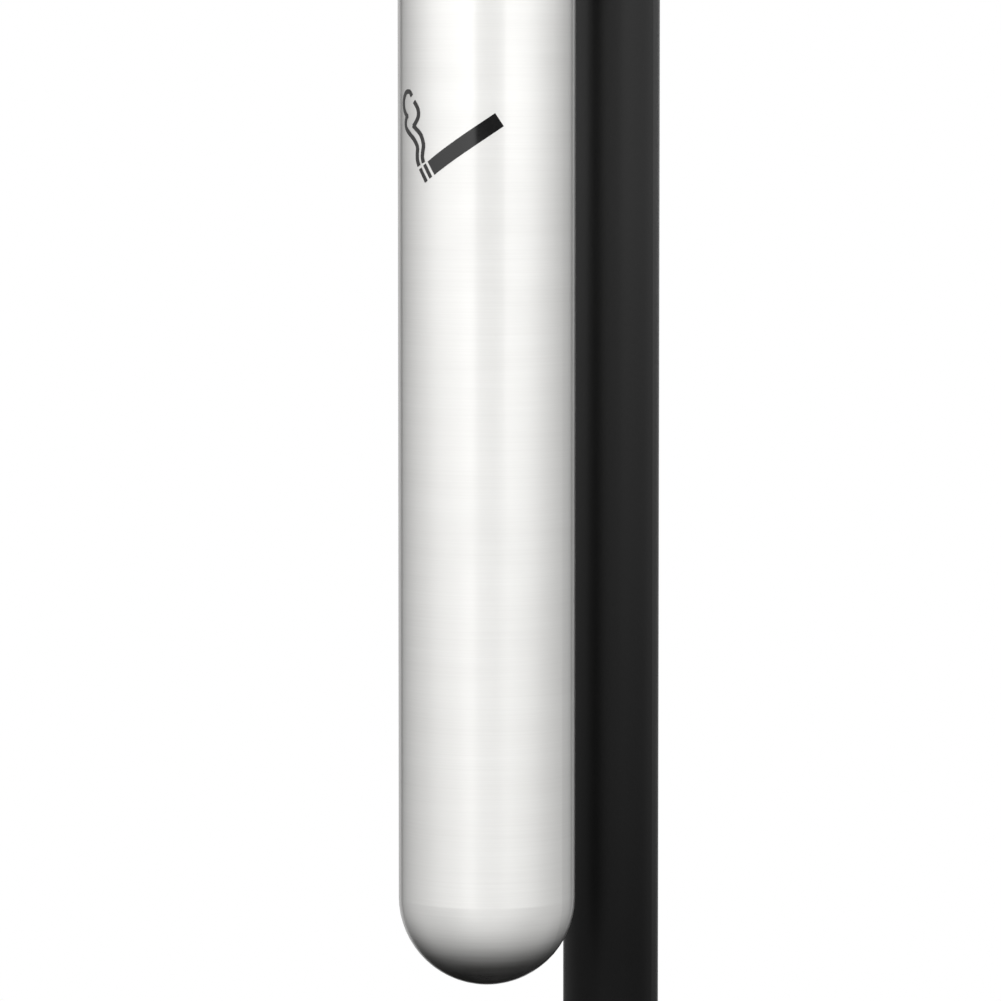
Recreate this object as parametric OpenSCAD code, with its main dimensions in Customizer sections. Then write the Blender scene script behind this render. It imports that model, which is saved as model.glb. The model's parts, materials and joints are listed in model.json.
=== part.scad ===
// Ashtray bin: a capsule of brushed steel tube held in front of a round steel post.
// The post stands on a round base plate. The head of the capsule lifts straight up and out,
// and brings the liner that hangs from it. A key lock in the capsule's side holds the head down.
// Millimetres, +Z up, the front faces -Y. The origin is the centre of the base plate's underside.

/* [Base plate] */
// Diameter of the base plate
base_d = 260; // [240:5:360]
// Thickness of the base plate
base_t = 10; // [6:1:20]
// Chamfer round the top edge of the base plate
base_edge = 2; // [1:0.5:3]
// Pitch circle of the ground anchor holes
anchor_pcd = 200; // [150:5:205]
// Diameter of a ground anchor hole
anchor_hole_d = 14; // [10:1:18]
// Number of ground anchor holes
anchor_count = 4; // [3:1:8]
// Leg of the fillet weld round the foot of the post
weld_leg = 6; // [4:1:10]

/* [Post] */
// Outside diameter of the post
post_d = 60.3; // [57:0.1:76.1]
// Wall thickness of the post
post_wall = 2.9; // [2:0.1:5]
// Height of the post above the bracket
post_rise = 50; // [10:1:120]
// Thickness of the cap's rim
cap_rim = 3; // [2:0.5:6]
// Depth of the cap's plug inside the post
cap_plug = 22; // [10:1:40]
// Radius of the cap's domed top
cap_dome_r = 75; // [50:1:200]

/* [Capsule] */
// Outside diameter of the capsule
tube_d = 108; // [104:1:135]
// Wall thickness of the capsule
tube_wall = 2; // [1.5:0.1:2.5]
// Length of the fixed lower part, from the tip of its dome to its rim
tube_len = 735; // [500:5:900]
// Height of the dome's tip above the ground
ground_gap = 230; // [100:5:400]
// Clear gap between the capsule and the post
post_gap = 63; // [50:1:100]
// Diameter of the drain hole in the dome's tip
drain_d = 8; // [4:0.5:12]
// Thickness of the rubber ring on the rim
seal_t = 1; // [0.8:0.1:3]
// Play between the rubber ring and the head
seal_gap = 0.3; // [0.3:0.1:1]

/* [Head] */
// Straight part of the head, from its lower edge to the start of its dome
head_len = 50; // [46:1:90]
// Clear width of the inlet
inlet_w = 58; // [40:1:66]
// Clear height of the inlet
inlet_h = 20; // [12:1:24]
// Wall of the bezel that lines the inlet
bezel_t = 2; // [1.5:0.1:3]
// Overlap of the bezel's lip on the face of the head
bezel_lip = 3; // [2:0.5:4]
// Height of the bezel's lip above the face of the head
bezel_rise = 1.2; // [0.8:0.1:2]
// Wall of the spigot ring under the head
spigot_wall = 4; // [3.5:0.1:4.5]
// Depth of the spigot below the capsule's rim
spigot_drop = 36; // [34:1:60]
// Play between the spigot and the capsule, on the radius
spigot_play = 0.4; // [0.3:0.05:0.8]
// Height of the spigot above the capsule's rim
spigot_rise = 15; // [14:0.5:20]
// Thickness of the stubbing plate
plate_t = 2; // [1:0.1:3]
// Diameter of a hole in the stubbing plate
plate_hole_d = 5; // [3:0.5:6]
// Spacing of the holes in the stubbing plate
plate_pitch = 9; // [7:0.5:12]
// Distance from the capsule's axis to the straight edge of the stubbing plate
plate_edge = 6; // [0:1:15]
// Gap between the stubbing plate and the bezel
plate_gap = 1.5; // [1:0.1:4]
// Depth of the stubbing plate's screws in the spigot
plate_screw_depth = 8; // [5:0.5:10]

/* [Liner] */
// Outside diameter of the liner
liner_d = 80; // [60:1:82]
// Wall thickness of the liner
liner_wall = 1.2; // [0.8:0.1:2]
// Height of the liner's bottom above the centre of the lower dome
liner_lift = 16; // [0:1:60]
// Depth of the pressed cup that closes the liner
cup_depth = 15; // [8:1:30]
// Play between the liner and the ring that it hangs in, on the radius
liner_play = 0.4; // [0.3:0.05:0.8]
// Diameter of a hanger pin
pin_d = 5; // [4:0.5:6]
// Number of hanger pins
pin_count = 3; // [2:1:4]
// Length of a hanger pin inside the liner's wall
pin_reach = 2; // [1:0.5:4]
// Play round a hanger pin in its slot
pin_play = 0.1; // [0.05:0.01:0.1]
// Angle that the liner turns through to unhook
unhook_angle = 25; // [15:1:35]

/* [Bracket] */
// Height of the bracket
bracket_h = 80; // [70:1:90]
// Distance from the capsule's rim down to the middle of the bracket
bracket_drop = 75; // [75:1:200]
// Thickness of the two saddles
saddle_t = 4; // [3:0.5:6]
// Width of the saddle on the post
post_saddle_w = 50; // [46:1:54]
// Width of the saddle on the capsule
tube_saddle_w = 70; // [46:1:90]
// Thickness of a web
web_t = 5; // [4:0.5:8]
// Clear width between the webs
web_space = 32; // [26:1:34]
// Radius of the arch in the lower edge of the webs
web_arch_r = 19; // [8:1:20]
// Vertical distance between the two bolts
bolt_pitch = 40; // [30:1:44]
// Height of the backing plate inside the capsule
backing_h = 66; // [60:1:68]
// Width of the backing plate inside the capsule
backing_w = 40; // [24:1:50]
// Thickness of the backing plate
backing_t = 2; // [1:0.1:2.5]

/* [Fasteners] */
// Thread diameter of the bracket bolts
bolt_d = 8; // [6:1:8]
// Play round a bracket bolt in its hole, on the diameter
bolt_play = 0.5; // [0.2:0.1:1]
// Diameter of a button head
button_d = 14; // [12:0.5:14]
// Height of a button head
button_h = 4.4; // [3:0.1:4.6]
// Size across the flats of the hexagon socket in a button head
socket_af = 5; // [3:0.5:6]
// Depth of the hexagon socket in a button head
socket_depth = 2.6; // [1:0.1:2.8]
// Size across the flats of a nut
nut_af = 13; // [10:0.5:13]
// Height of a nut
nut_h = 6.5; // [5:0.1:8]
// Diameter of a saddle washer
washer_d = 16; // [14:0.5:18]
// Thickness of a saddle washer at its middle
washer_t = 1.4; // [1.2:0.1:2]
// Thread left showing past a nut
thread_tail = 2; // [1:0.5:4]
// Diameter of the screws that hold the spigot in the head
screw_d = 5; // [4:0.5:5]
// Height of those screws' heads above the face of the head
screw_head_h = 2; // [1.5:0.1:2.5]
// Size across the flats of the hexagon socket in those screws
screw_socket_af = 3; // [2:0.5:4]
// Diameter of the screws that hold the stubbing plate
plate_screw_d = 3; // [2:0.5:3]

/* [Lock] */
// Distance from the capsule's rim down to the lock
lock_drop = 24; // [24:1:26]
// Diameter of the lock's face
lock_face_d = 22; // [20:1:24]
// Height of the lock's face above the capsule
lock_face_t = 3; // [2.5:0.1:4]
// Diameter of the lock's barrel
barrel_d = 16; // [14:0.5:16]
// Diameter of the turning core
core_d = 12; // [9:0.5:12]
// Diameter of the core's head
core_head_d = 15; // [13:0.5:15]
// Running clearance round the core, on the radius
core_play = 0.05; // [0.02:0.01:0.1]
// Side of the triangular key recess
key_side = 8; // [6:0.5:9]
// Length of the cam's tongue, from the axis of the lock
cam_len = 22; // [21:0.5:22]
// Width of the cam's tongue
cam_w = 8; // [6:0.5:9]
// Thickness of the cam
cam_t = 2.2; // [1.5:0.1:2.5]
// Clearance between the locked cam and the ledge of the spigot
cam_play = 1; // [0.5:0.1:2]
// Length of the barrel inside the capsule's wall
barrel_depth = 5.5; // [5:0.1:5.8]
// Diameter of the screw that holds the cam
cam_screw_d = 3; // [2:0.5:4]
// Diameter of the cam screw's head
cam_screw_head_d = 7; // [5:0.5:9]
// Height of the cam screw's head
cam_screw_h = 1.6; // [1:0.1:1.8]

/* [Pictogram] */
// Height of the middle of the pictogram above the tip of the dome
sign_rise = 518; // [200:1:640]
// Thickness of the print
sign_t = 0.15; // [0.1:0.05:0.5]
// Length of the cigarette
cigarette_len = 52.5; // [30:0.5:55]
// Thickness of the cigarette
cigarette_w = 9.4; // [5:0.1:12]
// Slope of the cigarette
cigarette_tilt = 33.6; // [20:0.1:45]
// Width of an ash band
ash_w = 2.4; // [1.5:0.1:4]
// Clear gap beside an ash band
ash_gap = 2; // [1:0.1:3]
// Width of a smoke line
smoke_w = 2.8; // [1.5:0.1:3]

/* [Hidden] */
$fn = 180;

steel = [0.80, 0.80, 0.78];
satin = [0.62, 0.63, 0.64];
black = [0.06, 0.06, 0.065];
zinc = [0.70, 0.71, 0.72];

// A cut runs past the face that it leaves by this much
over = 1;

post_r = post_d / 2;
post_in = post_r - post_wall;
tube_r = tube_d / 2;
tube_in = tube_r - tube_wall;
// Distance from the post's axis to the capsule's axis
reach = post_r + post_gap + tube_r;

dome_z = ground_gap + tube_r;
rim_z = ground_gap + tube_len;
bracket_z = rim_z - bracket_drop;
post_top = bracket_z + bracket_h / 2 + post_rise;
bolt_heights = [bracket_z - bolt_pitch / 2, bracket_z + bolt_pitch / 2];
bolt_hole_d = bolt_d + bolt_play;
lock_z = rim_z - lock_drop;

head_z = rim_z + seal_t + seal_gap;
head_dome_z = head_z + head_len;
spigot_z = rim_z - spigot_drop;
spigot_top = rim_z + spigot_rise;
spigot_out = tube_in - spigot_play;
spigot_in = spigot_out - spigot_wall;
liner_r = liner_d / 2;
flange_in = liner_r + liner_play;
plate_z = spigot_top;
// The spigot's inner flange holds the hanger pins, with this much metal above and below them
pin_cover = 2.5;
flange_t = pin_d + 2 * pin_cover;
flange_z = spigot_top - flange_t - 2;
pin_z = flange_z + flange_t / 2;
inlet_z = plate_z + plate_t + plate_gap + bezel_t + inlet_h / 2;
liner_z = dome_z + liner_lift;
liner_top = pin_z + pin_d / 2 + 4;
// A hanger pin stands at the front, and a spigot screw at the back
pin_angles = [for (i = [0 : pin_count - 1]) 270 + i * 360 / pin_count];
screw_angles = [for (a = pin_angles) a + 180 / pin_count];
// The stubbing plate's screws stand between the front pin and the spigot screws beside it
plate_screw_angles = [270 - 90 / pin_count, 270 + 90 / pin_count];

// The post's bolts run through it and its saddle, and the capsule's through plate, wall and saddle
post_seat = post_r + washer_t;
post_nut_seat = post_r + saddle_t + washer_t;
tube_seat = tube_in - backing_t - washer_t;
tube_nut_seat = tube_r + saddle_t + washer_t;

// Radii from the capsule's axis to the lock's faces, going inwards
lock_face = tube_r + lock_face_t;
barrel_end = tube_in - barrel_depth;
core_end = barrel_end - 0.6;
cam_end = core_end - cam_t;
// The core's head turns in a counterbore of the barrel, with this much play behind it
counterbore = 2;
core_float = 0.1;
// The spigot is cut away round the lock
notch_half = lock_face_d / 2 + 2;
notch_top = lock_z + cam_len + 1.5;
ledge_top = lock_z - cam_w / 2 - cam_play;

sign_z = ground_gap + sign_rise;
// Middle of the cigarette, as distance round the capsule from its front and height from sign_z
cigarette_mid = [16.2, -4.1];
// The two smoke lines, in the same measure, from the top down to the ash.
// Each is two strokes that meet at its kink.
smoke_lines = [
    [
        [[-23, 24.5], [-25.5, 27], [-30, 26.5], [-33.3, 22.5], [-33.3, 17.5], [-31, 14.2], [-28, 12]],
        [[-28, 12.8], [-30.3, 9.8], [-30.3, 6], [-27, 2.8], [-21.5, -0.8],
         [-17.4, -5.5], [-17.4, -10.3], [-17.2, -14], [-15.7, -17.4]]
    ],
    [
        [[-20.5, 21.2], [-17.2, 17.5], [-16.2, 13.5], [-17.8, 9.8], [-21.4, 6.2]],
        [[-21.8, 6.9], [-17.3, 4], [-13.7, 0.7], [-11.8, -4.5], [-12.4, -9], [-12.7, -12.3], [-11.8, -15.5]]
    ]
];
// Steps between two points of a smoke line
smoke_steps = 3;

// Moves a child to the capsule's axis, at height z
module at_tube(z = 0) {
    translate([0, -reach, z]) children();
}

// A rod along Y, from y0 to y1, at height z on the axis x = 0
module rod_y(y0, y1, d, z = 0) {
    translate([0, y0, z]) rotate([-90, 0, 0]) cylinder(d = d, h = y1 - y0);
}

// A rod along X, from x0 to x1, at height z on the axis y = 0
module rod_x(x0, x1, d, z) {
    translate([x0, 0, z]) rotate([0, 90, 0]) cylinder(d = d, h = x1 - x0);
}

// A ring from height z0 to z1
module ring(r0, r1, z0, z1) {
    difference() {
        translate([0, 0, z0]) cylinder(r = r1, h = z1 - z0);
        translate([0, 0, z0 - over]) cylinder(r = r0, h = z1 - z0 + 2 * over);
    }
}

// A hexagon along Y, from y0 to y1, measured across its flats
module hex_y(y0, y1, af, z = 0) {
    translate([0, y0, z]) rotate([-90, 0, 0]) cylinder(d = af / cos(30), h = y1 - y0, $fn = 6);
}

// A button head along Y with a hexagon socket: its flat seat at y0, its crown towards dir
module button_y(y0, dir, z) {
    crown_r = (button_d * button_d / 4 + button_h * button_h) / (2 * button_h);
    socket = [y0 + dir * (button_h - socket_depth), y0 + dir * (button_h + over)];
    difference() {
        intersection() {
            rod_y(min(y0, y0 + dir * button_h), max(y0, y0 + dir * button_h), button_d, z);
            translate([0, y0 + dir * (button_h - crown_r), z]) sphere(r = crown_r);
        }
        hex_y(min(socket), max(socket), socket_af, z);
    }
}

// A slot with round ends, w by h, cut or filled through the front of the head
module inlet_shape(w, h) {
    straight = (w - h) / 2;
    translate([-straight, -tube_r - 5, inlet_z - h / 2]) cube([2 * straight, tube_r, h]);
    for (side = [-1, 1]) {
        translate([side * straight, -tube_r - 5, inlet_z]) rotate([-90, 0, 0]) cylinder(d = h, h = tube_r);
    }
}

// Holes for the bracket bolts, along Y from y0 to y1
module bolt_holes(y0, y1) {
    for (z = bolt_heights) rod_y(y0, y1, bolt_hole_d, z);
}

// ---- Post ----

module base_plate() {
    color(black) difference() {
        union() {
            cylinder(d = base_d, h = base_t - base_edge);
            rotate_extrude() polygon([
                [0, base_t - base_edge], [base_d / 2, base_t - base_edge],
                [base_d / 2 - base_edge, base_t], [0, base_t]
            ]);
        }
        for (i = [0 : anchor_count - 1]) {
            rotate([0, 0, (i + 0.5) * 360 / anchor_count]) translate([anchor_pcd / 2, 0, -over])
                cylinder(d = anchor_hole_d, h = base_t + 2 * over);
        }
    }
}

module post_weld() {
    color(black) rotate_extrude() polygon([
        [post_r, base_t], [post_r + weld_leg, base_t], [post_r, base_t + weld_leg]
    ]);
}

module post_tube() {
    color(black) difference() {
        ring(post_in, post_r, base_t, post_top);
        bolt_holes(-post_r - over, post_r + over);
    }
}

module post_cap() {
    crown = cap_dome_r - sqrt(cap_dome_r * cap_dome_r - post_r * post_r);
    color(black) {
        ring(post_in - post_wall, post_in, post_top - cap_plug, post_top);
        intersection() {
            translate([0, 0, post_top]) cylinder(r = post_r, h = cap_rim + crown);
            translate([0, 0, post_top + cap_rim + crown - cap_dome_r]) sphere(r = cap_dome_r);
        }
    }
}

// ---- Bracket ----

module post_saddle() {
    color(black) difference() {
        intersection() {
            ring(post_r, post_r + saddle_t, bracket_z - bracket_h / 2, bracket_z + bracket_h / 2);
            translate([-post_saddle_w / 2, -post_r - saddle_t - over, bracket_z - bracket_h])
                cube([post_saddle_w, post_r, 2 * bracket_h]);
        }
        bolt_holes(-post_r - saddle_t - over, 0);
    }
}

module tube_saddle() {
    color(black) difference() {
        at_tube() intersection() {
            ring(tube_r, tube_r + saddle_t, bracket_z - bracket_h / 2, bracket_z + bracket_h / 2);
            translate([-tube_saddle_w / 2, saddle_t + over, bracket_z - bracket_h])
                cube([tube_saddle_w, tube_r, 2 * bracket_h]);
        }
        bolt_holes(-reach, -reach + tube_r + saddle_t + over);
    }
}

module bracket_webs() {
    color(black) difference() {
        for (side = [-1, 1]) {
            translate([side * (web_space + web_t) / 2 - web_t / 2, -reach, bracket_z - bracket_h / 2])
                cube([web_t, reach, bracket_h]);
        }
        translate([0, 0, bracket_z - bracket_h]) cylinder(r = post_r + saddle_t, h = 2 * bracket_h);
        at_tube(bracket_z - bracket_h) cylinder(r = tube_r + saddle_t, h = 2 * bracket_h);
        translate([0, -post_r - post_gap / 2, 0])
            rod_x(-web_space, web_space, 2 * web_arch_r, bracket_z - bracket_h / 2);
    }
}

module post_bolts() {
    color(zinc) for (z = bolt_heights) {
        button_y(post_seat, 1, z);
        rod_y(-post_nut_seat - nut_h - thread_tail, post_seat, bolt_d, z);
    }
}

module post_bolt_washers() {
    color(zinc) difference() {
        for (z = bolt_heights) rod_y(post_in, post_seat, washer_d, z);
        cylinder(r = post_r, h = post_top);
        for (z = bolt_heights) rod_y(0, post_seat + over, bolt_d, z);
    }
}

module post_nuts() {
    color(zinc) difference() {
        for (z = bolt_heights) hex_y(-post_nut_seat - nut_h, -post_nut_seat, nut_af, z);
        for (z = bolt_heights) rod_y(-post_nut_seat - nut_h - over, 0, bolt_d, z);
    }
}

module tube_bolts() {
    color(zinc) at_tube() for (z = bolt_heights) {
        button_y(tube_seat, -1, z);
        rod_y(tube_seat, tube_nut_seat + nut_h + thread_tail, bolt_d, z);
    }
}

module tube_bolt_washers() {
    color(zinc) at_tube() difference() {
        intersection() {
            for (z = bolt_heights) rod_y(tube_seat, tube_in, washer_d, z);
            cylinder(r = tube_in - backing_t, h = rim_z);
        }
        for (z = bolt_heights) rod_y(tube_seat - over, tube_in, bolt_d, z);
    }
}

module tube_nuts() {
    color(zinc) at_tube() difference() {
        for (z = bolt_heights) hex_y(tube_nut_seat, tube_nut_seat + nut_h, nut_af, z);
        for (z = bolt_heights) rod_y(0, tube_nut_seat + nut_h + over, bolt_d, z);
    }
}

// Saddle washers under the nuts between the webs
module nut_washers() {
    color(zinc) difference() {
        union() {
            for (z = bolt_heights) rod_y(-post_nut_seat, -post_r, washer_d, z);
            for (z = bolt_heights) rod_y(-reach + tube_r, -reach + tube_nut_seat, washer_d, z);
        }
        cylinder(r = post_r + saddle_t, h = post_top);
        at_tube() cylinder(r = tube_r + saddle_t, h = post_top);
        for (z = bolt_heights) rod_y(-reach, 0, bolt_d, z);
    }
}

module backing_plate() {
    color(zinc) difference() {
        at_tube() intersection() {
            ring(tube_in - backing_t, tube_in, bracket_z - backing_h / 2, bracket_z + backing_h / 2);
            translate([-backing_w / 2, 0, bracket_z - backing_h]) cube([backing_w, tube_r, 2 * backing_h]);
        }
        bolt_holes(-reach, 0);
    }
}

// ---- Capsule ----

module tube_shell() {
    color(steel) difference() {
        at_tube() difference() {
            union() {
                translate([0, 0, dome_z]) cylinder(r = tube_r, h = rim_z - dome_z);
                translate([0, 0, dome_z]) sphere(r = tube_r);
            }
            translate([0, 0, dome_z]) cylinder(r = tube_in, h = rim_z - dome_z + over);
            translate([0, 0, dome_z]) sphere(r = tube_in);
            translate([0, 0, ground_gap - over]) cylinder(d = drain_d, h = tube_r);
            rod_x(0, tube_r + over, barrel_d, lock_z);
        }
        bolt_holes(-reach, -reach + tube_r + over);
    }
}

module rim_seal() {
    color([0.03, 0.03, 0.03]) at_tube() ring(tube_in, tube_r, rim_z, rim_z + seal_t);
}

// A point at distance s round the capsule from its front, seen straight from the front
function wrapped(p) = [tube_r * sin(p[0] / tube_r * 180 / PI), p[1]];

// A point on a smooth curve through the points a, b, c and d, at the share t of the way from b to c
function smooth(a, b, c, d, t) = (2 * b + (c - a) * t + (2 * a - 5 * b + 4 * c - d) * t * t
    + (3 * b - a - 3 * c + d) * t * t * t) / 2;

// The curve through a list of points, with n steps between neighbours
function curve(p, n) = let (last = len(p) - 1) concat(
    [for (i = [0 : last - 1], k = [0 : n - 1])
        smooth(p[max(i - 1, 0)], p[i], p[i + 1], p[min(i + 2, last)], k / n)],
    [p[last]]
);

// The same curve moved sideways by w
function beside(p, w) = let (last = len(p) - 1) [for (i = [0 : last])
    let (d = p[min(i + 1, last)] - p[max(i - 1, 0)])
    p[i] + w * [-d[1], d[0]] / norm(d)
];

function reversed(p) = [for (i = [len(p) - 1 : -1 : 0]) p[i]];

// Outline of a bar of the cigarette, from a to b along its length
function bar(a, b) = let (
    u = [cos(cigarette_tilt), sin(cigarette_tilt)],
    v = [-u[1], u[0]] * cigarette_w / 2,
    steps = 12,
    along = [for (i = [0 : steps]) cigarette_mid + u * (a + (b - a) * i / steps)]
) concat([for (p = along) p - v], [for (p = reversed(along)) p + v]);

// Flat outlines, joined and wrapped round the front of the capsule as a thin print
module print(outlines) {
    at_tube() intersection() {
        ring(tube_r, tube_r + sign_t, ground_gap, rim_z);
        translate([0, 0, sign_z]) rotate([90, 0, 0]) linear_extrude(height = tube_d)
            for (outline = outlines) polygon([for (p = outline) wrapped(p)]);
    }
}

module smoking_pictogram() {
    tip = -cigarette_len / 2;
    color(black) {
        print([bar(tip, -tip)]);
        for (i = [1, 2]) {
            band = tip - i * (ash_w + ash_gap);
            print([bar(band, band + ash_w)]);
        }
        for (line = smoke_lines) {
            print([for (stroke = line) let (path = curve(stroke, smoke_steps))
                concat(beside(path, smoke_w / 2), reversed(beside(path, -smoke_w / 2)))]);
        }
    }
}

// ---- Lock ----

module lock_barrel() {
    color(zinc) at_tube() difference() {
        union() {
            difference() {
                rod_x(0, lock_face, lock_face_d, lock_z);
                cylinder(r = tube_r, h = rim_z + tube_r);
            }
            rod_x(barrel_end, lock_face - over, barrel_d, lock_z);
        }
        rod_x(0, lock_face + over, core_d + 2 * core_play, lock_z);
        rod_x(lock_face - counterbore, lock_face + over, core_head_d + 2 * core_play, lock_z);
    }
}

module lock_nut() {
    nut_end = barrel_end + 0.3;
    color(zinc) at_tube() difference() {
        intersection() {
            translate([nut_end, 0, lock_z]) rotate([0, 90, 0])
                cylinder(d = lock_face_d - 1, h = tube_r - nut_end, $fn = 6);
            cylinder(r = tube_in, h = rim_z);
        }
        rod_x(0, tube_r, barrel_d, lock_z);
    }
}

module lock_core() {
    key_depth = 7;
    color(satin) at_tube() difference() {
        union() {
            rod_x(core_end, lock_face - counterbore / 2, core_d, lock_z);
            rod_x(lock_face - counterbore + core_float, lock_face - core_float, core_head_d, lock_z);
        }
        translate([lock_face - key_depth, 0, lock_z]) rotate([0, 90, 0])
            cylinder(d = key_side / cos(30), h = key_depth, $fn = 3);
        rod_x(core_end - over, core_end + cam_screw_d, cam_screw_d, lock_z);
    }
}

module lock_cam() {
    color(zinc) at_tube() difference() {
        union() {
            rod_x(cam_end, core_end, core_d, lock_z);
            translate([cam_end, -cam_w / 2, lock_z]) cube([cam_t, cam_w, cam_len]);
        }
        rod_x(cam_end - over, core_end + over, cam_screw_d, lock_z);
    }
}

module lock_cam_screw() {
    color(zinc) at_tube() {
        rod_x(cam_end - cam_screw_h, cam_end, cam_screw_head_d, lock_z);
        rod_x(cam_end, core_end + cam_screw_d, cam_screw_d, lock_z);
    }
}

// ---- Head ----

module head_shell() {
    color(steel) at_tube() difference() {
        union() {
            translate([0, 0, head_z]) cylinder(r = tube_r, h = head_len);
            intersection() {
                translate([0, 0, head_dome_z]) sphere(r = tube_r);
                translate([0, 0, head_dome_z]) cylinder(r = tube_r + over, h = tube_r + over);
            }
        }
        translate([0, 0, head_z - over]) cylinder(r = tube_in, h = head_len + over);
        intersection() {
            translate([0, 0, head_dome_z]) sphere(r = tube_in);
            translate([0, 0, head_dome_z]) cylinder(r = tube_r, h = tube_r);
        }
        inlet_shape(inlet_w + 2 * bezel_t, inlet_h + 2 * bezel_t);
        for (a = screw_angles) rotate([0, 0, a]) rod_x(tube_in - over, tube_r + over, screw_d + 0.2, pin_z);
    }
}

// Ring that slides in the capsule's mouth. Its upper part fills the head, its flange holds the pins,
// and the notch over the lock has a ledge on its front side that the locked cam catches.
module head_spigot() {
    color(satin) at_tube() difference() {
        union() {
            ring(spigot_in, spigot_out, spigot_z, head_z);
            ring(spigot_in, tube_in, head_z, spigot_top);
            ring(flange_in, spigot_in + over, flange_z, flange_z + flange_t);
        }
        translate([0, -notch_half, spigot_z - over])
            cube([tube_r, 2 * notch_half, notch_top - spigot_z + over]);
        translate([tube_r / 2, -cam_len - cam_play, ledge_top])
            cube([tube_r, cam_len + cam_play, notch_top - ledge_top]);
        for (a = pin_angles) rotate([0, 0, a]) rod_x(flange_in - over, tube_in + over, pin_d, pin_z);
        for (a = screw_angles) rotate([0, 0, a]) rod_x(spigot_in, tube_in + over, screw_d, pin_z);
        plate_screw_places() cylinder(d = plate_screw_d, h = plate_screw_depth + over);
    }
}

// Button screws through the head into the spigot
module spigot_screws() {
    color(zinc) at_tube() for (a = screw_angles) {
        rotate([0, 0, a]) {
            rod_x(spigot_in, tube_r, screw_d, pin_z);
            difference() {
                rod_x(tube_r - 2, tube_r + screw_head_h, 2 * screw_d - 1, pin_z);
                cylinder(r = tube_r, h = head_dome_z);
                translate([tube_r + screw_head_h / 4, 0, pin_z]) rotate([0, 90, 0])
                    cylinder(d = screw_socket_af / cos(30), h = screw_head_h, $fn = 6);
            }
        }
    }
}

module inlet_bezel() {
    color(black) at_tube() difference() {
        union() {
            intersection() {
                inlet_shape(inlet_w + 2 * bezel_t, inlet_h + 2 * bezel_t);
                ring(tube_in - 1, tube_r + bezel_rise, head_z, head_dome_z + tube_r);
            }
            intersection() {
                inlet_shape(inlet_w + 2 * (bezel_t + bezel_lip), inlet_h + 2 * (bezel_t + bezel_lip));
                ring(tube_r, tube_r + bezel_rise, head_z, head_dome_z + tube_r);
            }
        }
        inlet_shape(inlet_w, inlet_h);
    }
}

// Places of the stubbing plate's screws, at the bottom of their holes in the spigot
module plate_screw_places() {
    for (a = plate_screw_angles) rotate([0, 0, a])
        translate([(spigot_in + tube_in) / 2, 0, spigot_top - plate_screw_depth]) children();
}

// Half-round perforated plate inside the inlet: what is stubbed out on it falls behind it
module stub_plate() {
    rows = ceil(spigot_in / plate_pitch);
    color(satin) at_tube() difference() {
        intersection() {
            translate([0, 0, plate_z]) cylinder(r = tube_in, h = plate_t);
            translate([-tube_r, -tube_r, plate_z - over])
                cube([tube_d, tube_r - plate_edge, plate_t + 2 * over]);
        }
        for (row = [1 : rows], col = [-rows : rows]) {
            x = (col + (row % 2) / 2) * plate_pitch;
            y = -plate_edge - (row - 0.4) * plate_pitch * sin(60);
            if (norm([x, y]) < spigot_in - plate_hole_d) {
                translate([x, y, plate_z - over]) cylinder(d = plate_hole_d, h = plate_t + 2 * over);
            }
        }
        plate_screw_places() cylinder(d = plate_screw_d, h = tube_r);
    }
}

module plate_screws() {
    color(zinc) at_tube() plate_screw_places() {
        cylinder(d = plate_screw_d, h = plate_screw_depth + plate_t);
        translate([0, 0, plate_screw_depth + plate_t]) cylinder(d = plate_screw_d + 1, h = 1);
    }
}

module hanger_pins() {
    color(zinc) at_tube() for (a = pin_angles) {
        rotate([0, 0, a]) rod_x(liner_r - liner_wall - pin_reach, spigot_out, pin_d, pin_z);
    }
}

// ---- Liner ----

// L-shaped slots: a leg from the top edge, and a level leg that ends on the hanger pin.
// The legs are a little narrower than the round seats at their ends.
module liner_sleeve() {
    slot_d = pin_d + 2 * pin_play;
    leg_w = pin_d + pin_play;
    color(satin) at_tube() difference() {
        ring(liner_r - liner_wall, liner_r, liner_z, liner_top);
        for (a = pin_angles) {
            rotate([0, 0, a]) {
                rod_x(liner_r / 2, liner_r + over, slot_d, pin_z);
                intersection() {
                    ring(liner_r - liner_wall - over, liner_r + over, pin_z - leg_w / 2, pin_z + leg_w / 2);
                    wedge(unhook_angle);
                }
                rotate([0, 0, -unhook_angle]) {
                    rod_x(liner_r / 2, liner_r + over, slot_d, pin_z);
                    translate([liner_r / 2, -leg_w / 2, pin_z]) cube([liner_r, leg_w, tube_r]);
                }
            }
        }
    }
}

// A wedge between +X and the angle a clockwise from it, as tall as the bin
module wedge(a) {
    far = 4 * tube_r;
    linear_extrude(height = 2 * rim_z) polygon([
        [0, 0], [far, 0], [far * cos(a), -far * sin(a)]
    ]);
}

module liner_base() {
    cup_r = liner_r - liner_wall;
    color(satin) at_tube() difference() {
        translate([0, 0, liner_z]) cylinder(r = cup_r, h = cup_depth);
        translate([0, 0, liner_z + liner_wall]) cylinder(r = cup_r - liner_wall, h = cup_depth);
    }
}

base_plate();
post_weld();
post_tube();
post_cap();
post_saddle();
tube_saddle();
bracket_webs();
post_bolts();
post_bolt_washers();
post_nuts();
tube_bolts();
tube_bolt_washers();
tube_nuts();
nut_washers();
backing_plate();
tube_shell();
rim_seal();
smoking_pictogram();
lock_barrel();
lock_nut();
lock_core();
lock_cam();
lock_cam_screw();
head_shell();
head_spigot();
spigot_screws();
inlet_bezel();
stub_plate();
plate_screws();
hanger_pins();
liner_sleeve();
liner_base();
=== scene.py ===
"""The looks of the ashtray bin: the welds and beads that the CAD leaves plain, a procedural finish for
every surface, and the studio and camera. All of it is placed round the CAD frame."""

import json
import math

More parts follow.
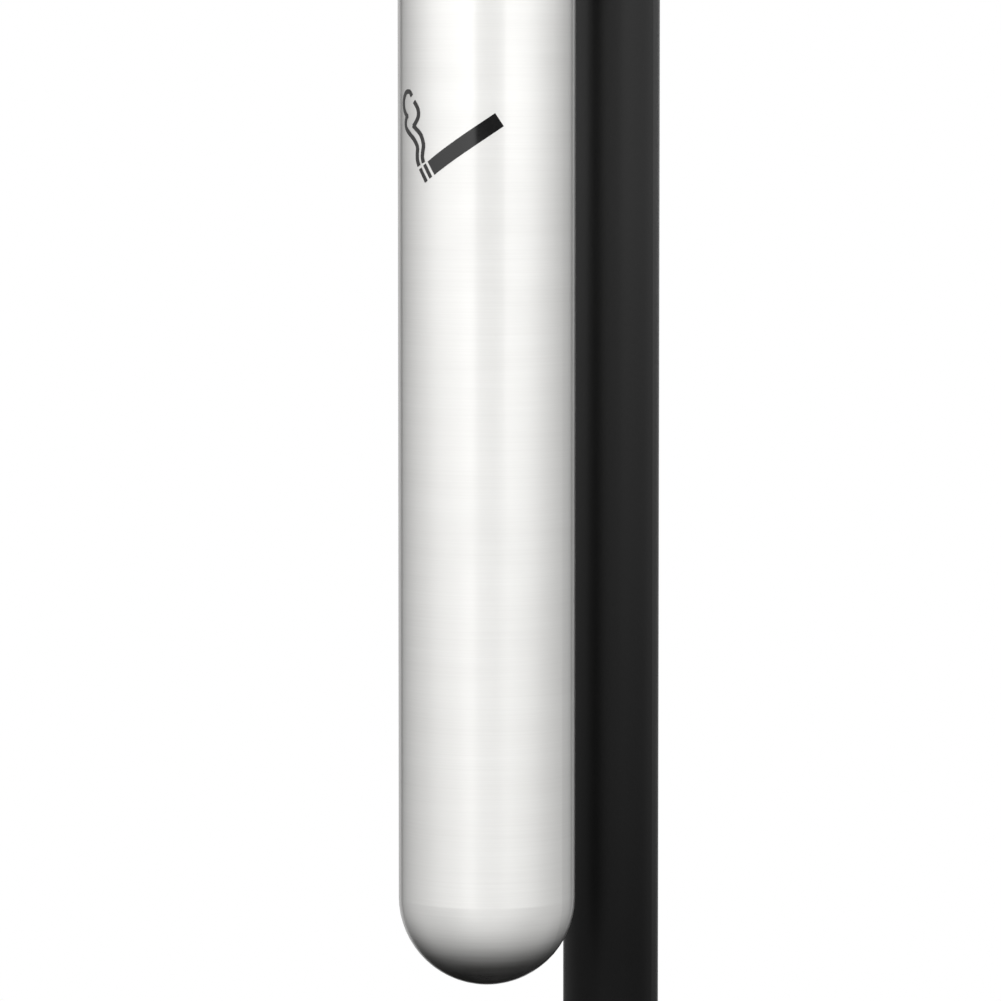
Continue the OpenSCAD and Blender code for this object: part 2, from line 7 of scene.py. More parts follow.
import bmesh
import bpy
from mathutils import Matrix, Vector


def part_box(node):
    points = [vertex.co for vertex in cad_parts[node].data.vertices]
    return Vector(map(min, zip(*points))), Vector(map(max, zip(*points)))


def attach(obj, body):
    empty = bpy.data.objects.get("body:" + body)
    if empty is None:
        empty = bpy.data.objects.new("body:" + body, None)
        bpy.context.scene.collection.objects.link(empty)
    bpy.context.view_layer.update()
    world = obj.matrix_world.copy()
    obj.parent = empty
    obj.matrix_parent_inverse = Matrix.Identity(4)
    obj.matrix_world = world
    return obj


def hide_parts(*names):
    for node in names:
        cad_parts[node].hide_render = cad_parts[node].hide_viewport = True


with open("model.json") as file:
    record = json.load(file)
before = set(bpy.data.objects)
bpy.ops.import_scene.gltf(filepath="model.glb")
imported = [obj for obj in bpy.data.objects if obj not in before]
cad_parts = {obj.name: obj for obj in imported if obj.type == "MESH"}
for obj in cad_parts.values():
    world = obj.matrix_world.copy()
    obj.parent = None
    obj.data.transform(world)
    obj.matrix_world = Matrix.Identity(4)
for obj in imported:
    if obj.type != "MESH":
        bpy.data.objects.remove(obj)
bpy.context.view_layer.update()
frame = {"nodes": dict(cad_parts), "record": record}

NODES = frame["nodes"]


def middle(node):
    """The centre of a CAD node's box."""
    low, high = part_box(node)
    return (Vector(low) + Vector(high)) / 2


def size(node):
    """The lengths of the sides of a CAD node's box."""
    low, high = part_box(node)
    return Vector(high) - Vector(low)


# The capsule's axis and radius, its tip and rim, the post's axis and radius, and the base plate's radius
TUBE = middle("rim_seal").xy
TUBE_R = size("tube_shell").x / 2
TIP_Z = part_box("tube_shell")[0][2]
RIM_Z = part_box("rim_seal")[0][2]
POST = middle("post_tube").xy
POST_R = size("post_tube").x / 2
BASE_R = size("base_plate").x / 2


# ---- Node trees ----

class Tree:
    """A short way to write a material's node tree."""

    def __init__(self, name, owner=None, output="OutputMaterial"):
        self.material = owner or bpy.data.materials.new(name)
        self.material.use_nodes = True
        self.nodes = self.material.node_tree.nodes
        self.links = self.material.node_tree.links
        self.nodes.clear()
        self.output = self.nodes.new("ShaderNode" + output)

    def set(self, socket, value):
        """Links a socket to another, or gives it a value."""
        if isinstance(value, bpy.types.NodeSocket):
            self.links.new(value, socket)
        else:
            socket.default_value = value

    def add(self, kind, out=0, props=None, **inputs):
        """Adds a node and returns one of its outputs. Inputs go by their socket's name, with _ for a
        space, or by its number, as i0, i1 and so on."""
        node = self.nodes.new("ShaderNode" + kind)
        for key, value in (props or {}).items():
            setattr(node, key, value)
        for key, value in inputs.items():
            name = key.replace("_", " ")
            index = int(key[1:]) if key[0] == "i" and key[1:].isdigit() else name
            self.set(node.inputs[index], value)
        return node.outputs[out]

    def math(self, operation, a, b=0.0):
        return self.add("Math", props={"operation": operation}, i0=a, i1=b)

    def vector(self, operation, a, b=(0, 0, 0)):
        return self.add("VectorMath", props={"operation": operation}, i0=a, i1=b)

    def length(self, a):
        return self.vector("LENGTH", a).node.outputs["Value"]

    def parts(self, a):
        """The x, y and z of a vector."""
        split = self.nodes.new("ShaderNodeSeparateXYZ")
        self.set(split.inputs[0], a)
        return split.outputs

    def place(self):
        """Where a point is on the unmoved piece, in metres."""
        return self.add("TexCoord", out=3)

    def noise(self, at, scale, detail, rough):
        return self.add("TexNoise", Vector=at, Scale=scale, Detail=detail, Roughness=rough)

    def ramp(self, value, low, high, out_low=0.0, out_high=1.0, kind="LINEAR"):
        """Maps low..high to out_low..out_high, and holds the ends."""
        return self.add("MapRange", props={"clamp": True, "interpolation_type": kind}, Value=value,
                        From_Min=low, From_Max=high, To_Min=out_low, To_Max=out_high)

    def mix(self, share, a, b):
        node = self.nodes.new("ShaderNodeMix")
        node.data_type = "RGBA"
        self.set(node.inputs[0], share)
        self.set(node.inputs[6], a)
        self.set(node.inputs[7], b)
        return node.outputs[2]

    def bump(self, height, strength, distance, normal=None):
        inputs = {"Height": height, "Strength": strength, "Distance": distance}
        if normal is not None:
            inputs["Normal"] = normal
        return self.add("Bump", **inputs)

    def surface(self, **inputs):
        """The principled shader, joined to the output."""
        node = self.nodes.new("ShaderNodeBsdfPrincipled")
        for key, value in inputs.items():
            self.set(node.inputs[key.replace("_", " ")], value)
        self.links.new(node.outputs[0], self.output.inputs["Surface"])
        return self.material


def grey(value, warm=0.0):
    """A grey, or a slightly warm or cold one."""
    return (value * (1 + warm), value, value * (1 - warm), 1.0)


def wrapped(tree, axis):
    """Coordinates on a round piece: metres round its axis, metres up, and the distance from the axis."""
    at = tree.vector("SUBTRACT", tree.place(), (axis[0], axis[1], 0.0))
    x, y, z = tree.parts(at)
    angle = tree.math("ARCTAN2", x, tree.math("MULTIPLY", y, -1.0))
    radius = tree.math("SQRT", tree.math("ADD", tree.math("MULTIPLY", x, x), tree.math("MULTIPLY", y, y)))
    return tree.math("MULTIPLY", angle, TUBE_R), z, radius


def stretched(tree, a, b, a_scale, b_scale, offset=0.0):
    """A noise vector that is squeezed differently along its two directions."""
    return tree.add("CombineXYZ", X=tree.math("MULTIPLY", a, a_scale), Y=tree.math("MULTIPLY", b, b_scale),
                    Z=offset)


def at_height(tree, at):
    """The height of a place above the ground."""
    return tree.parts(at)[2]


def brushed_steel():
    """Stainless tube, brushed round its axis: level hairlines, faint level bands and handling haze. The
    lower dome is smoother towards its tip."""
    t = Tree("brushed_stainless")
    round_, up, _ = wrapped(t, TUBE)
    hair = t.noise(stretched(t, round_, up, 14.0, 3200.0), 1.0, 2.0, 0.6)
    lines = t.noise(stretched(t, round_, up, 9.0, 700.0, 3.1), 1.0, 3.0, 0.65)
    bands = t.noise(stretched(t, round_, up, 5.0, 60.0, 7.7), 1.0, 2.0, 0.5)
    haze = t.noise(t.place(), 14.0, 4.0, 0.55)
    grain = t.math("ADD", t.math("MULTIPLY", hair, 0.5), t.math("MULTIPLY", lines, 0.5))
    tone = t.math("ADD", t.math("MULTIPLY", grain, 0.7), t.math("MULTIPLY", bands, 0.3))
    colour = t.mix(t.ramp(tone, 0.36, 0.64), (0.760, 0.755, 0.738, 1), (0.812, 0.809, 0.793, 1))
    colour = t.mix(t.ramp(haze, 0.5, 0.75, 0.0, 0.10), colour, (0.60, 0.60, 0.59, 1))
    rough = t.math("ADD", t.ramp(grain, 0.35, 0.65, 0.37, 0.42), t.ramp(haze, 0.45, 0.8, 0.0, 0.05))
    dome = t.ramp(at_height(t, t.place()), TIP_Z + 0.036, TIP_Z + 0.010, 0.0, 0.115)
    rough = t.math("SUBTRACT", rough, dome)
    bumped = t.bump(grain, 0.10, 0.00012)
    return t.surface(Base_Color=colour, Metallic=1.0, Roughness=rough, Anisotropic=0.50,
                     Anisotropic_Rotation=0.25, Coat_Weight=1.0, Coat_Roughness=0.13, Coat_IOR=1.5,
                     Tangent=t.add("Tangent", props={"direction_type": "RADIAL", "axis": "Z"}),
                     Normal=bumped)


def powder_coat():
    """Black powder coat: a fine pebbled skin, slightly uneven in gloss, with a little dust, a soiled foot
    and scuffs on the base plate's rim. Its coat thins out lower down: painted shade, so that its sheen
    dims towards the bottom."""
    t = Tree("black_powder_coat")
    at = t.place()
    pebble = t.noise(at, 1500.0, 2.0, 0.5)
    orange_peel = t.noise(at, 420.0, 1.0, 0.4)
    cloud = t.noise(at, 18.0, 4.0, 0.6)
    dust = t.ramp(t.noise(at, 900.0, 1.0, 0.3), 0.78, 0.86)
    rim = t.ramp(t.length(t.vector("MULTIPLY", at, (1, 1, 0))), BASE_R - 0.004, BASE_R - 0.0005)
    scuff = t.math("MULTIPLY", rim, t.ramp(t.noise(at, 130.0, 5.0, 0.7), 0.60, 0.70))
    foot = t.math("MULTIPLY", t.ramp(t.noise(at, 45.0, 5.0, 0.6), 0.35, 0.75),
                  t.add("MapRange", Value=at_height(t, at), From_Min=0.075, From_Max=0.0))
    colour = t.mix(cloud, grey(0.0022), grey(0.0034, -0.02))
    colour = t.mix(t.math("MULTIPLY", dust, 0.15), colour, grey(0.06))
    colour = t.mix(t.math("MULTIPLY", foot, 0.18), colour, grey(0.05, 0.08))
    colour = t.mix(t.math("MULTIPLY", scuff, 0.5), colour, grey(0.06, 0.03))
    rough = t.math("ADD", t.ramp(cloud, 0.3, 0.7, 0.31, 0.37), t.ramp(pebble, 0.3, 0.7, -0.03, 0.03))
    rough = t.math("ADD", rough, t.math("MULTIPLY", t.math("MAXIMUM", foot, scuff), 0.15))
    skin = t.bump(orange_peel, 0.12, 0.0003, t.bump(pebble, 0.16, 0.0001))
    # Painted shade: the coat weight falls towards the bottom, so the post's reflection dims lower down as
    # shade would dim it
    gloss = t.ramp(at_height(t, at), TIP_Z, TIP_Z + 0.5)
    return t.surface(Base_Color=colour, Roughness=rough, Specular_IOR_Level=0.10, Normal=skin,
                     Coat_Weight=gloss, Coat_Roughness=0.34, Coat_IOR=1.29, Coat_Normal=skin)


def gloss_print():
    """Screen-printed black gloss on the brushed tube, which telegraphs through it faintly."""
    t = Tree("black_print")
    round_, up, _ = wrapped(t, TUBE)
    lines = t.noise(stretched(t, round_, up, 9.0, 700.0, 3.1), 1.0, 3.0, 0.65)
    cloud = t.noise(t.place(), 120.0, 3.0, 0.5)
    colour = t.mix(cloud, grey(0.0035), grey(0.0060))
    rough = t.ramp(cloud, 0.3, 0.7, 0.10, 0.16)
    return t.surface(Base_Color=colour, Roughness=rough, Specular_IOR_Level=0.52,
                     Normal=t.bump(lines, 0.05, 0.0001))


def moulded_black():
    """Moulded black polymer with a fine spark-eroded grain."""
    t = Tree("black_polymer")
    at = t.place()
    grain = t.noise(at, 1100.0, 3.0, 0.55)
    cloud = t.noise(at, 30.0, 3.0, 0.5)
    colour = t.mix(cloud, grey(0.016), grey(0.026))
    rough = t.ramp(cloud, 0.3, 0.7, 0.42, 0.55)
    return t.surface(Base_Color=colour, Roughness=rough, Normal=t.bump(grain, 0.22, 0.00012))


def seal_rubber():
    """Matt black EPDM with a dusty bloom."""
    t = Tree("seal_rubber")
    at = t.place()
    cloud = t.noise(at, 60.0, 4.0, 0.6)
    fine = t.noise(at, 1400.0, 2.0, 0.5)
    colour = t.mix(t.ramp(cloud, 0.4, 0.75), grey(0.016), grey(0.038))
    return t.surface(Base_Color=colour, Roughness=t.ramp(fine, 0.3, 0.7, 0.72, 0.88),
                     Normal=t.bump(fine, 0.2, 0.0001))


def zinc():
    """Bright zinc plate: bluish white, lightly mottled and finely scuffed."""
    t = Tree("zinc_plate")
    at = t.place()
    mottle = t.noise(at, 260.0, 4.0, 0.6)
    scuff = t.noise(t.vector("MULTIPLY", at, (600.0, 600.0, 3000.0)), 1.0, 2.0, 0.5)
    colour = t.mix(t.ramp(mottle, 0.3, 0.7), (0.50, 0.52, 0.54, 1), (0.66, 0.68, 0.70, 1))
    rough = t.math("ADD", t.ramp(mottle, 0.3, 0.7, 0.24, 0.34), t.ramp(scuff, 0.45, 0.7, 0.0, 0.08))
    return t.surface(Base_Color=colour, Metallic=1.0, Roughness=rough, Normal=t.bump(scuff, 0.12, 0.00008))


def lock_chrome():
    """Satin chrome, turned: fine rings round the lock's axis."""
    t = Tree("lock_chrome")
    axis = middle("lock_core")
    at = t.vector("SUBTRACT", t.place(), (0.0, axis.y, axis.z))
    _, y, z = t.parts(at)
    radius = t.math("SQRT", t.math("ADD", t.math("MULTIPLY", y, y), t.math("MULTIPLY", z, z)))
    rings = t.noise(stretched(t, radius, 0.0, 6000.0, 1.0), 1.0, 2.0, 0.6)
    wear = t.noise(t.place(), 300.0, 4.0, 0.6)
    colour = t.mix(t.ramp(wear, 0.35, 0.7), (0.60, 0.60, 0.61, 1), (0.74, 0.74, 0.75, 1))
    return t.surface(Base_Color=colour, Metallic=1.0, Roughness=t.ramp(wear, 0.3, 0.7, 0.16, 0.28),
                     Normal=t.bump(rings, 0.15, 0.00005))


def turned_aluminium():
    """Turned aluminium: fine tool marks round the capsule's axis."""
    t = Tree("turned_aluminium")
    _, up, radius = wrapped(t, TUBE)
    marks = t.noise(stretched(t, radius, up, 5000.0, 5000.0), 1.0, 1.0, 0.5)
    cloud = t.noise(t.place(), 60.0, 3.0, 0.5)
    colour = t.mix(t.ramp(cloud, 0.3, 0.7), (0.62, 0.63, 0.64, 1), (0.76, 0.77, 0.78, 1))
    return t.surface(Base_Color=colour, Metallic=1.0, Roughness=t.ramp(marks, 0.3, 0.7, 0.24, 0.36),
                     Normal=t.bump(marks, 0.2, 0.00006))


def galvanised():
    """Galvanised sheet: the spangle of zinc crystals, dulled by ash."""
    t = Tree("galvanised")
    at = t.place()
    cells = t.nodes.new("ShaderNodeTexVoronoi")
    t.set(cells.inputs["Vector"], at)
    cells.inputs["Scale"].default_value = 160.0
    spangle = t.noise(cells.outputs["Color"], 3.0, 1.0, 0.5)
    ash = t.noise(at, 22.0, 5.0, 0.6)
    colour = t.mix(t.ramp(spangle, 0.3, 0.7), (0.42, 0.44, 0.45, 1), (0.60, 0.62, 0.63, 1))
    colour = t.mix(t.ramp(ash, 0.5, 0.8, 0.0, 0.5), colour, (0.20, 0.19, 0.18, 1))
    rough = t.math("ADD", t.ramp(spangle, 0.3, 0.7, 0.30, 0.44), t.ramp(ash, 0.5, 0.8, 0.0, 0.2))
    return t.surface(Base_Color=colour, Metallic=1.0, Roughness=rough, Normal=t.bump(spangle, 0.1, 0.0001))


def stub_steel():
    """The stubbing plate's steel: straight grain, darkened and dulled by soot."""
    t = Tree("perforated_stainless")
    at = t.place()
    grain = t.noise(t.vector("MULTIPLY", at, (30.0, 3000.0, 30.0)), 1.0, 2.0, 0.5)
    soot = t.noise(at, 70.0, 5.0, 0.65)
    colour = t.mix(t.ramp(grain, 0.35, 0.65), (0.50, 0.50, 0.49, 1), (0.64, 0.64, 0.62, 1))
    colour = t.mix(t.ramp(soot, 0.54, 0.80, 0.0, 0.7), colour, (0.07, 0.065, 0.06, 1))
    rough = t.math("ADD", t.ramp(grain, 0.3, 0.7, 0.28, 0.40), t.ramp(soot, 0.54, 0.80, 0.0, 0.3))
    return t.surface(Base_Color=colour, Metallic=1.0, Roughness=rough, Normal=t.bump(grain, 0.1, 0.00008))


FINISHES = {
    "brushed_stainless": brushed_steel(),
    "black_powder_coat": powder_coat(),
    "black_print": gloss_print(),
    "black_polymer": moulded_black(),
    "seal_rubber": seal_rubber(),
    "zinc_plate": zinc(),
    "lock_chrome": lock_chrome(),
    "turned_aluminium": turned_aluminium(),
    "galvanised": galvanised(),
    "perforated_stainless": stub_steel(),
}


def finish_nodes():
    """Gives each CAD node the finish of its material slot."""
    for part in frame["record"]["subparts"]:
        mesh = NODES[part["node"]].data
        mesh.materials.clear()
        mesh.materials.append(FINISHES[part["material_slot"]])


# ---- Pieces that are only in the looks ----

# Metres from one ripple of a weld to the next, the points across its crown, the leg of the bracket's
# welds, and how far a bead's or seam's edges reach into the surface that it stands on
WELD_RIPPLE = 0.0026
WELD_SIDES = 7
BRACKET_LEG = 0.0035
ROOT = 0.0003

# The liner's rolled beads: how many, where the first is and how far the last is from it as shares of the
# liner's height, and their steps round the liner and across
BEADS = 4
BEAD_FIRST = 0.08
BEAD_SPREAD = 0.80
BEAD_HALF = 0.0035
BEAD_RISE = 0.0012
BEAD_STEPS = 128
BEAD_ARC = 8

# The liner's lap seam: its bearing, half width and rise, its steps each side of its middle, and how far
# it stays from the liner's lower and upper ends
SEAM_WAY = math.radians(45.0)
SEAM_HALF = 0.0030
SEAM_RISE = 0.0007
SEAM_STEPS = 4
SEAM_INSET = (0.001, 0.030)


def piece(name, rings, body, slot, closed=False):
    """A smooth mesh through a row of rings of points, which rides on a body and has a slot's finish."""
    bm = bmesh.new()
    rows = [[bm.verts.new(point) for point in ring] for ring in rings]
    for row, following in zip(rows, rows[1:] + (rows[:1] if closed else [])):
        for i in range(len(row)):
            j = (i + 1) % len(row)
            bm.faces.new((row[i], row[j], following[j], following[i]))
    if not closed:
        bm.faces.new(rows[0])
        bm.faces.new(rows[-1])
    bmesh.ops.recalc_face_normals(bm, faces=bm.faces)
    for face in bm.faces:
        face.smooth = True
    mesh = bpy.data.meshes.new(name)
    bm.to_mesh(mesh)
    bm.free()
    mesh.materials.append(FINISHES[slot])
    made = bpy.data.objects.new(name, mesh)
    bpy.context.scene.collection.objects.link(made)
    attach(made, body)
    return made


def weld_ring(corner, along_one, along_other, leg, distance):
    """The section of a fillet weld at a distance along its seam, from one wall to the other. Its size
    ripples and wanders a little, as in hand work, and its face is crowned."""
    ripple = 0.96 + 0.06 * abs(math.sin(math.pi * distance / WELD_RIPPLE))
    wander = 0.03 * math.sin(410 * distance) + 0.02 * math.sin(1130 * distance + 1)
    points = [corner]
    for i in range(WELD_SIDES):
        share = i / (WELD_SIDES - 1)
        crown = leg * (ripple + wander) * (1 + 0.22 * math.sin(math.pi * share))
        points.append(corner + (along_one * (1 - share) + along_other * share) * crown)
    return points


def weld_steps(length):
    """Distances along a seam, six for each ripple."""
    count = round(length / WELD_RIPPLE) * 6
    return [length * i / count for i in range(count + 1)]


def foot_weld():
    """The weld round the foot of the post, with its ripples."""
    low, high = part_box("post_weld")
    leg = high[2] - low[2]
    rings = []
    for distance in weld_steps(2 * math.pi * POST_R)[:-1]:
        angle = distance / POST_R
        out = Vector((math.cos(angle), math.sin(angle), 0.0))
        corner = Vector((POST.x, POST.y, low[2])) + out * POST_R
        rings.append(weld_ring(corner, out, Vector((0, 0, 1)), leg, distance))
    made = piece("foot_weld_bead", rings, "stand", "black_powder_coat", closed=True)
    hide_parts("post_weld")


def bracket_welds():
    """Upright welds between the webs' outer faces and the two saddles."""
    low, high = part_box("bracket_webs")
    face = high[0]
    post_round = POST.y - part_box("post_saddle")[0][1]
    tube_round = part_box("tube_saddle")[1][1] - TUBE.y
    saddles = (("post", POST.y, post_round, -1), ("tube", TUBE.y, tube_round, 1))
    for place, centre_y, radius, way in saddles:
        depth = math.sqrt(radius ** 2 - face ** 2)
        for side, side_name in ((-1, "left"), (1, "right")):
            start = Vector((side * face, centre_y + way * depth, low[2]))
            web_way = Vector((0, way, 0))
            saddle_way = Vector((side * depth, -way * face, 0)) / radius
            rings = [
                weld_ring(start + Vector((0, 0, distance)), web_way, saddle_way, BRACKET_LEG, distance)
                for distance in weld_steps(high[2] - low[2])
            ]
            piece(f"{place}_weld_bead_{side_name}", rings, "stand", "black_powder_coat")


def liner_beads():
    """Rolled stiffening beads round the liner, and its lap seam."""
    low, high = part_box("liner_sleeve")
    radius = (high[0] - low[0]) / 2

    def round_liner(angle, reach, height):
        """A point at a bearing round the liner, at a reach from its surface and a height."""
        out = Vector((math.cos(angle), math.sin(angle), 0.0))
        return Vector((TUBE.x, TUBE.y, height)) + out * (radius + reach)

    for i in range(BEADS):
        height = low[2] + (high[2] - low[2]) * (BEAD_FIRST + BEAD_SPREAD * i / (BEADS - 1))
        rings = []
        for turn in range(BEAD_STEPS):
            angle = math.tau * turn / BEAD_STEPS
            ring = [round_liner(angle, -ROOT, height - BEAD_HALF)]
            for k in range(BEAD_ARC + 1):
                swell = math.pi * k / BEAD_ARC
                ring.append(round_liner(angle, BEAD_RISE * math.sin(swell) ** 2,
                                        height - BEAD_HALF * math.cos(swell)))
            rings.append(ring + [round_liner(angle, -ROOT, height + BEAD_HALF)])
        piece(f"liner_bead_{i + 1}", rings, "liner", "galvanised", closed=True)

    across = [SEAM_HALF * (k / SEAM_STEPS - 1) for k in range(2 * SEAM_STEPS + 1)]
    section = [(offset, -ROOT) for offset in reversed(across)] + [(offset, SEAM_RISE) for offset in across]
    rings = [[round_liner(SEAM_WAY + offset / radius, reach, height) for offset, reach in section]
             for height in (low[2] + SEAM_INSET[0], high[2] - SEAM_INSET[1])]
    made = piece("liner_seam", rings, "liner", "galvanised")
    for polygon in made.data.polygons:
        polygon.use_smooth = False


# ---- Studio ----

# The camera's bearing, as an angle from the front towards +X, its downward pitch, its distance, where it
# aims from the capsule's tip and how wide its view is there
BEARING = math.radians(32.1)
PITCH = math.radians(4.2)
CAMERA_DISTANCE = 3.43
AIM_ABOVE_TIP = 0.2966
AIM_ASIDE = 0.0083
VIEW_WIDTH = 0.6095

# The lamp overhead: its width, its power and its place from the centre of the capsule's rim
LAMP_SIZE = 1.6
LAMP_POWER = 6.0
LAMP_PLACE = Vector((0.3, -0.5, 1.6))

# The floor that is seen: half its side, its cells along a side, its grey, and where it fades
FLOOR_REACH = 1.25
FLOOR_CELLS = 96
FLOOR_GREY = 0.80
FLOOR_FADE = (0.45, 1.2)

# The studio that the bin mirrors. Bearings are in degrees to the right of the camera, and heights are
# sines of an elevation. FRONT is 1 towards the camera and -1 away from it, and ASIDE is 1 square to it.
# A pair gives where a change starts and where it is complete.

# The walls: how far the broad light's middle is from the camera, the dimmest and brightest wall, and
# the lit panel on them
KEY_SHIFT = math.radians(-3.0)
WALL_FRONT = (-0.8, 0.8)
WALL_DARK = 0.51
WALL_BRIGHT = 1.82
PANEL = (-80.0, 61.0)
PANEL_EXTRA = 0.08

# The soft edge of a strip of wall, and how far round it may reach
STRIP_SOFT = 0.02
STRIP_FRONT = (0.0, 0.1)

# The dimmer gap at the camera, and the dark port for its lens: its height, half height and soft edge
GAP = (-14.0, 15.5)
GAP_LIGHT = 1.55
PORT = (-14.0, 23.0)
PORT_HEIGHT = 0.01
PORT_HALF = 0.05
PORT_SOFT = 0.02
PORT_LIGHT = 0.02

# The dark flags beside the backdrop, and the backdrop
FLAG_FRONT = (-0.765, -0.80)
BACKDROP_FRONT = (-0.855, -0.88)
BACKDROP_LIGHT = 0.60

# The dark lower edge of the walls at the sides
SKIRT_HEIGHT = (0.02, -0.16)
SKIRT_ASIDE = (0.1, 0.6)
SKIRT_FRONT = (-0.5, 0.1)
SKIRT_SHARE = 0.12

# The mirrored floor. A tilt is the sine of the slope of the surface that mirrors it to the camera.
FLOOR_HEIGHT = (0.03, -0.44)
FLOOR_TILT = (-0.75, -0.24)
FLOOR_LIGHT = 0.90
FLOOR_FRONT = (-0.95, -0.10)
FLOOR_REAR_SHARE = 0.15
FLOOR_ASIDE = (0.3, 0.8)
FLOOR_SIDE_SHARE = 0.80
SWEEP_FRONT = (-0.72, -0.90)
SWEEP_HEIGHT = (-0.42, -0.26)
SWEEP_LIGHT = 0.50
LEAST_FACING = 0.02

# The ceiling
CEILING_HEIGHT = (0.35, 0.8)
CEILING_LIGHT = 0.75


def right_of(bearing):
    """The level direction to the right of someone who looks at the bin from that bearing."""
    return Vector((math.cos(bearing), math.sin(bearing), 0.0))


def from_bearing(bearing, pitch=0.0):
    """The direction from the bin towards a bearing and a height above the horizon."""
    level = Vector((math.sin(bearing), -math.cos(bearing), 0.0))
    return level * math.cos(pitch) + Vector((0.0, 0.0, math.sin(pitch)))


def look_from(obj, place, target):
    """Puts a camera or a lamp at a place and turns it to a target."""
    obj.location = place
    obj.rotation_euler = (Vector(target) - Vector(place)).to_track_quat("-Z", "Y").to_euler()


def make_camera():
    """A camera to the right of the front and a little above the level, which looks at the lower part of
    the capsule."""
    data = bpy.data.cameras.new("camera")
    data.sensor_width = 36.0
    data.lens = data.sensor_width * CAMERA_DISTANCE / VIEW_WIDTH
    data.clip_end = 50.0
    camera = bpy.data.objects.new("camera", data)
    bpy.context.scene.collection.objects.link(camera)
    aim = Vector((TUBE.x, TUBE.y, TIP_Z + AIM_ABOVE_TIP)) + right_of(BEARING) * AIM_ASIDE
    look_from(camera, aim + from_bearing(BEARING, PITCH) * CAMERA_DISTANCE, aim)
    bpy.context.scene.camera = camera


def make_lights():
    """One wide softbox overhead, for the tops and the shadow at the foot."""
    data = bpy.data.lights.new("overhead", "AREA")
    data.shape = "DISK"
    data.size = LAMP_SIZE
    data.energy = LAMP_POWER
    lamp = bpy.data.objects.new("overhead", data)
    lamp.visible_camera = False
    bpy.context.scene.collection.objects.link(lamp)
    centre = Vector((TUBE.x, TUBE.y, RIM_Z))
    look_from(lamp, centre + LAMP_PLACE, centre)


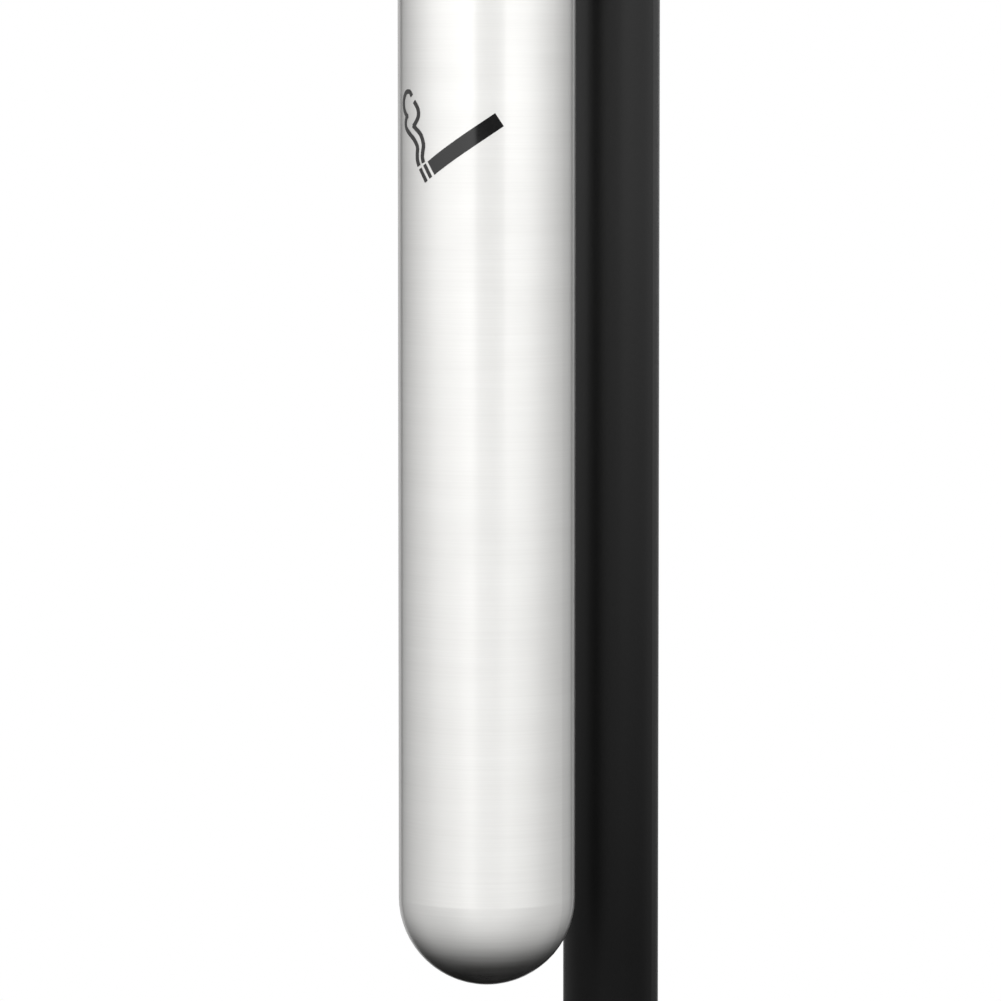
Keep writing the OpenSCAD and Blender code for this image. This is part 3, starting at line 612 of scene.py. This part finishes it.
def make_world():
    """A white studio. What the bin's metal mirrors in it is a broad soft light round the camera, a little
    dimmer at the camera itself and with a dark port for its lens, grey walls at the sides, a dark flag on
    each side of the white backdrop, and a floor that is bright in front of the bin and dark behind it, up
    to the light foot of the backdrop."""
    world = bpy.data.worlds.new("studio")
    bpy.context.scene.world = world
    t = Tree("studio", world, "OutputWorld")
    way = t.add("TexCoord", out=0)
    up = t.parts(way)[2]

    def along(direction):
        return t.vector("DOT_PRODUCT", way, direction).node.outputs["Value"]

    def blend(share, a, b):
        return t.add("Mix", props={"data_type": "FLOAT"}, i0=share, i2=a, i3=b)

    def times(a, b):
        return t.math("MULTIPLY", a, b)

    def strip(start, end):
        """1 between two bearings from the camera, in degrees to its right, and 0 elsewhere."""
        middle_way = BEARING + math.radians((start + end) / 2)
        half = math.sin(math.radians((end - start) / 2))
        off = t.math("ABSOLUTE", along(right_of(middle_way)))
        facing = t.ramp(along(from_bearing(middle_way)), *STRIP_FRONT)
        return times(t.ramp(off, half + STRIP_SOFT, half - STRIP_SOFT), facing)

    front = along(from_bearing(BEARING))
    aside = t.math("ABSOLUTE", along(right_of(BEARING)))

    key = along(from_bearing(BEARING + KEY_SHIFT))
    walls = t.ramp(key, *WALL_FRONT, WALL_DARK, WALL_BRIGHT, "SMOOTHSTEP")
    walls = t.math("ADD", walls, times(strip(*PANEL), PANEL_EXTRA))
    walls = blend(strip(*GAP), walls, GAP_LIGHT)
    from_lens = t.math("ABSOLUTE", t.math("SUBTRACT", up, PORT_HEIGHT))
    port = times(strip(*PORT), t.ramp(from_lens, PORT_HALF + PORT_SOFT, PORT_HALF))
    walls = blend(port, walls, PORT_LIGHT)
    walls = blend(t.ramp(front, *FLAG_FRONT), walls, 0.0)
    walls = blend(t.ramp(front, *BACKDROP_FRONT), walls, BACKDROP_LIGHT)
    skirt = times(t.ramp(up, *SKIRT_HEIGHT), t.ramp(aside, *SKIRT_ASIDE))
    skirt = times(skirt, t.ramp(front, *SKIRT_FRONT))
    walls = blend(skirt, walls, times(walls, SKIRT_SHARE))

    facing = t.math("MAXIMUM", t.math("ADD", front, 1.0), LEAST_FACING)
    tilt = t.math("DIVIDE", up, t.math("SQRT", times(facing, 2.0)))
    floor = t.ramp(tilt, *FLOOR_TILT, 0.0, FLOOR_LIGHT, "SMOOTHSTEP")
    floor = times(floor, t.ramp(front, *FLOOR_FRONT, FLOOR_REAR_SHARE, 1.0))
    floor = times(floor, t.ramp(aside, *FLOOR_ASIDE, 1.0, FLOOR_SIDE_SHARE))
    sweep = times(t.ramp(front, *SWEEP_FRONT), t.ramp(up, *SWEEP_HEIGHT))
    floor = t.math("MAXIMUM", floor, times(sweep, SWEEP_LIGHT))

    light = blend(t.ramp(up, *FLOOR_HEIGHT, 0.0, 1.0, "SMOOTHSTEP"), walls, floor)
    light = blend(t.ramp(up, *CEILING_HEIGHT), light, CEILING_LIGHT)
    light = blend(t.add("LightPath", out=0), light, 1.0)
    t.set(t.output.inputs["Surface"], t.add("Background", Color=(1, 1, 1, 1), Strength=light))


def make_floor():
    """A pale floor that fades, round the bin, into the white behind it. Metal doesn't mirror it: the
    studio's own floor is what is mirrored."""
    mesh = bpy.data.meshes.new("floor")
    bm = bmesh.new()
    bmesh.ops.create_grid(bm, x_segments=FLOOR_CELLS, y_segments=FLOOR_CELLS, size=FLOOR_REACH)
    bm.to_mesh(mesh)
    bm.free()
    floor = bpy.data.objects.new("floor", mesh)
    floor.visible_glossy = False
    bpy.context.scene.collection.objects.link(floor)
    t = Tree("floor")
    pale = t.add("BsdfDiffuse", Color=grey(FLOOR_GREY))
    glow = t.add("Emission")
    t.set(t.output.inputs["Surface"],
          t.add("MixShader", i0=t.ramp(t.length(t.place()), *FLOOR_FADE), i1=pale, i2=glow))
    mesh.materials.append(t.material)


finish_nodes()
foot_weld()
bracket_welds()
liner_beads()
make_camera()
make_lights()
make_world()
make_floor()

scene = bpy.context.scene
scene.view_settings.view_transform = "Standard"
scene.cycles.max_bounces = 8
